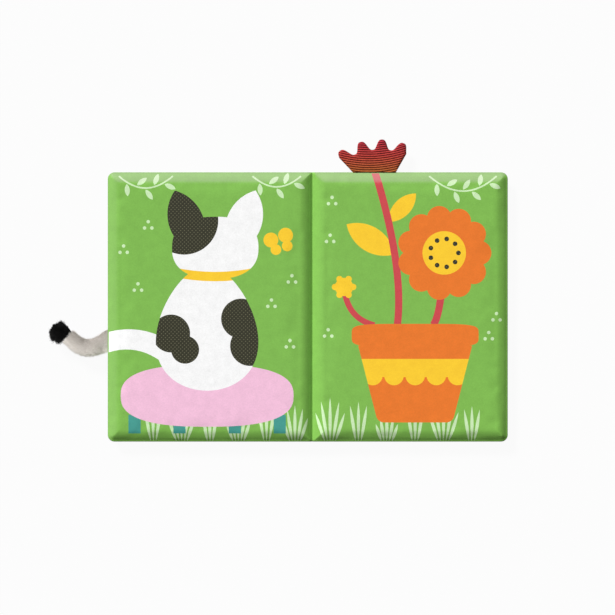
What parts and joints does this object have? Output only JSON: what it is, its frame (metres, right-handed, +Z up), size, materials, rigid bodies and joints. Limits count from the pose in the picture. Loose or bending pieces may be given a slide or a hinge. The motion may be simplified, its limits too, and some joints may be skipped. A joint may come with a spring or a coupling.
{
  "type": "cloth book",
  "caption": "Open cloth book with padded pages and covers, a printed spread, a stuffed plush tail sewn into one edge and a ribbed cloth crest into another; the front half closes at the fold.",
  "frame": {"origin": "middle of the fold's length, on the underside of the spine, where the open book rests", "axes": "+X across the spread to the right page's outer edge, +Y along the fold to the top of the pages, +Z up out of the pages"},
  "size_m": [0.3398, 0.2244, 0.0177],
  "materials": {
    "green_cloth": "grass green printed polyester cloth over thin padding",
    "beige_plush": "short grey-beige plush pile",
    "black_fur": "long black fake fur",
    "red_corduroy": "crimson to rust ribbed cloth",
    "white_print": "white printed field",
    "charcoal_print": "charcoal printed field with fine dots",
    "pink_print": "pink printed field",
    "yellow_print": "yellow printed field",
    "teal_print": "teal printed field",
    "pale_print": "pale green printed field",
    "orange_print": "orange printed field",
    "red_print": "red printed field"
  },
  "bodies": {
    "back_half": {"back_cover": "green_cloth", "right_page": "green_cloth", "spine": "green_cloth", "crest": "red_corduroy", "right_print_orange": "orange_print", "right_print_yellow": "yellow_print", "right_print_red": "red_print", "right_print_charcoal": "charcoal_print", "right_print_grass": "pale_print"},
    "front_half": {"front_cover": "green_cloth", "left_page": "green_cloth", "tail": "beige_plush", "tail_tuft": "black_fur", "left_print_white": "white_print", "left_print_charcoal": "charcoal_print", "left_print_pink": "pink_print", "left_print_yellow": "yellow_print", "left_print_teal": "teal_print", "left_print_grass": "pale_print"}
  },
  "joints": [
    {"name": "front_cover_fold", "type": "hinge", "parent": "back_half", "child": "front_half", "pos_m": [0, 0, 0.01435], "axis": [0, 1, 0], "range_deg": [0, 180]}
  ]
}
